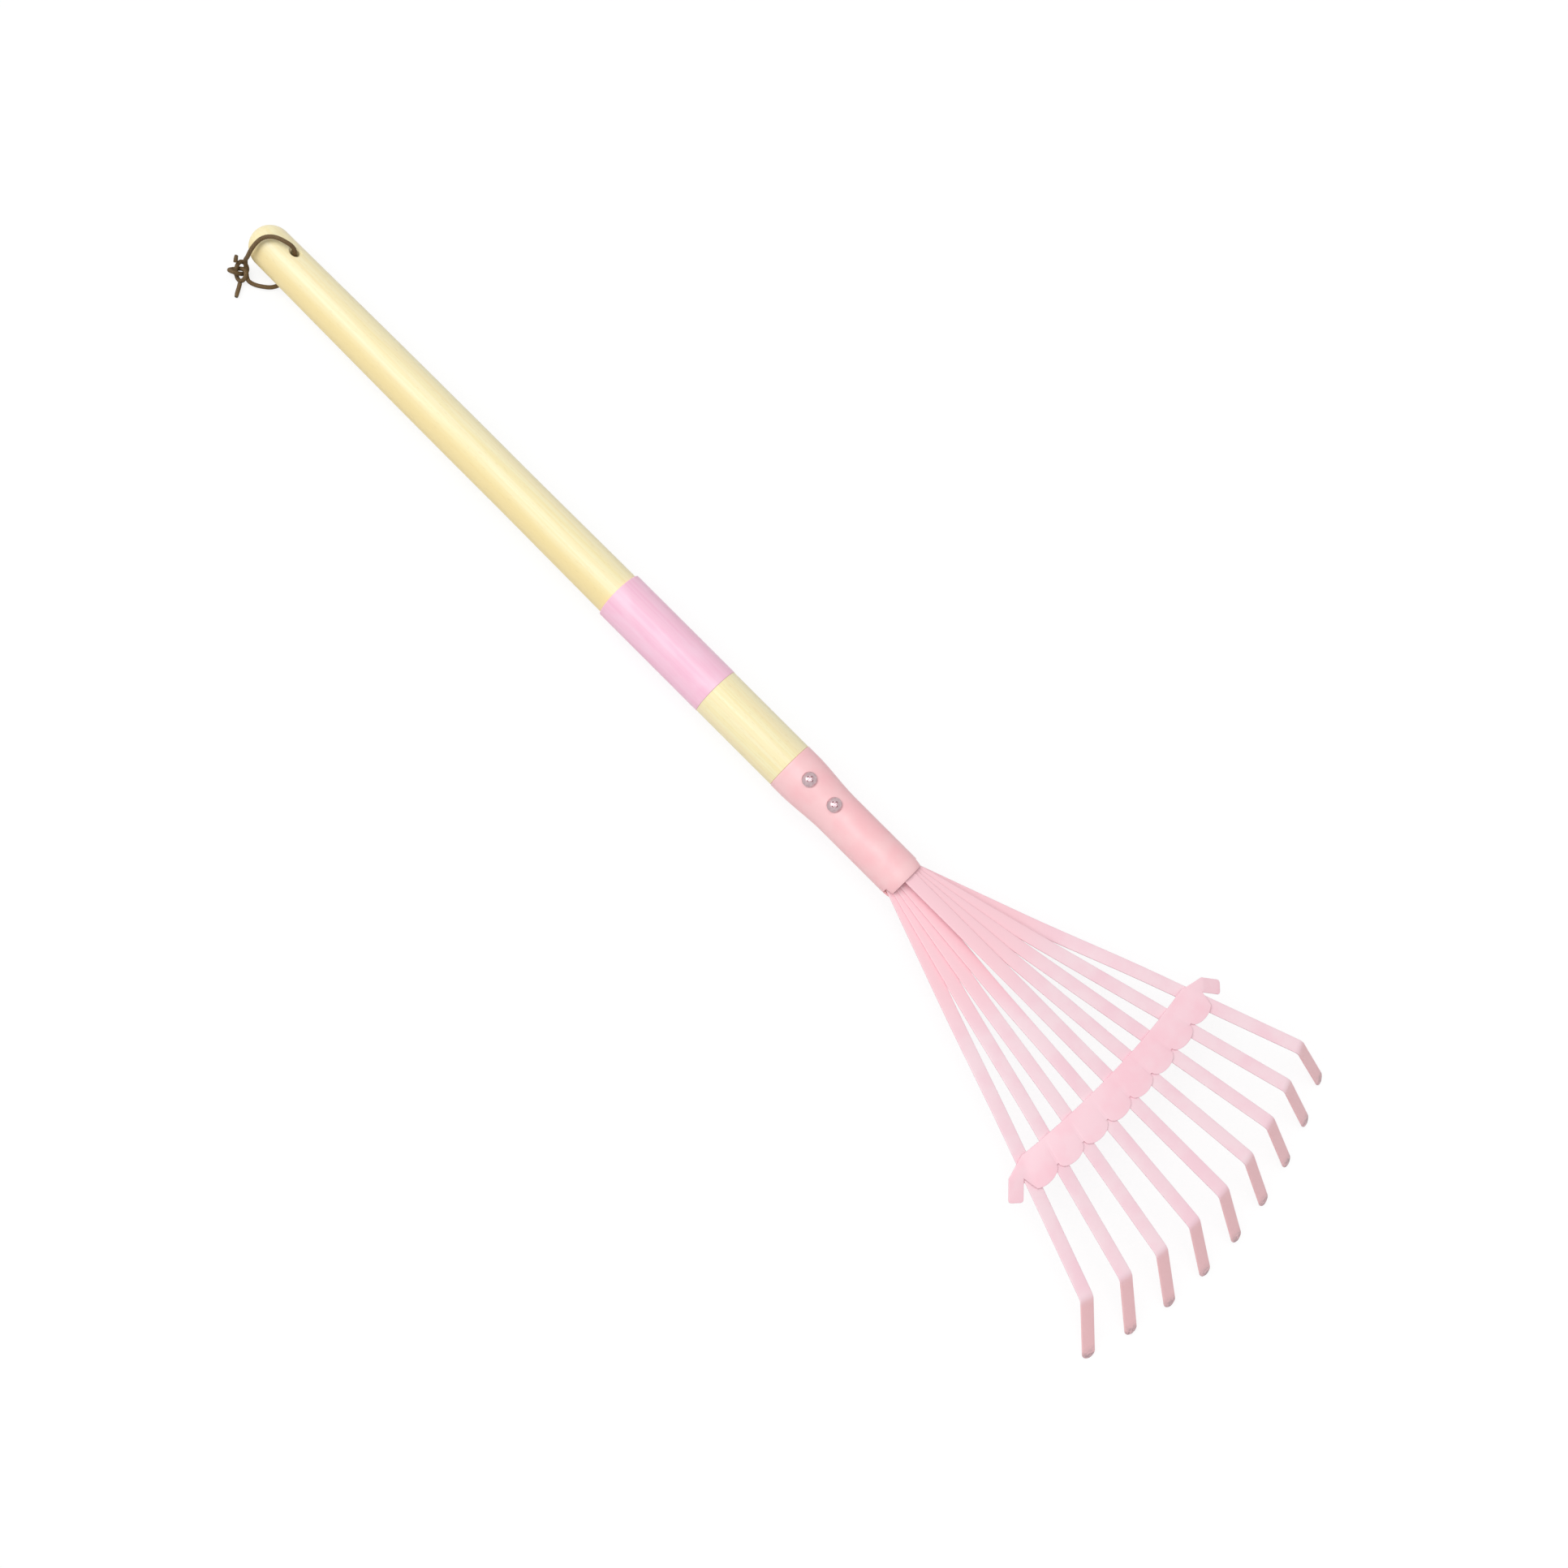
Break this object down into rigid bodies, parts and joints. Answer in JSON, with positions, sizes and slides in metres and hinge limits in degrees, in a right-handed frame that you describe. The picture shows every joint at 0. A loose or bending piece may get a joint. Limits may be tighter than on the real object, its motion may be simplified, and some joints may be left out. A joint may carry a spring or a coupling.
{
  "type": "child's fan rake",
  "caption": "Child's fan rake with a turned wooden handle, steel socket, sprung flat steel tines, a spreader bar across them and a hanging cord.",
  "frame": {"origin": "on the handle's axis, in the plane of the wood shoulder that the socket's rim meets", "axes": "+Y along the handle to its rounded end, -Y to the tips, +Z out of the top face that carries the screws, teeth bent towards -Z, +X to the right seen from above with the handle's end up"},
  "size_m": [0.193, 0.6926, 0.0465],
  "materials": {
    "wood": "smooth turned light hardwood, clear matt lacquer",
    "band": "soft pink sleeve, 1 mm thick, satin to gloss",
    "pink_paint": "satin light pink stoving enamel on sheet steel",
    "screw_steel": "bright zinc plate",
    "rivet_steel": "plain steel",
    "cord": "round dark brown lace, matt"
  },
  "bodies": {
    "root": {"handle": "wood", "colour_band": "band", "socket": "pink_paint", "screw_upper": "screw_steel", "screw_lower": "screw_steel", "tine_1": "pink_paint", "tine_2": "pink_paint", "tine_3": "pink_paint", "tine_4": "pink_paint", "tine_5": "pink_paint", "tine_6": "pink_paint", "tine_7": "pink_paint", "tine_8": "pink_paint", "tine_9": "pink_paint", "root_plug": "wood", "root_rivet": "rivet_steel", "spreader_plate": "pink_paint", "spreader_back": "pink_paint", "cord_in_hole": "cord", "cord_upper_run": "cord", "cord_lower_run": "cord", "cord_knot": "cord", "cord_long_tail": "cord", "cord_short_tail": "cord"}
  },
  "joints": []
}
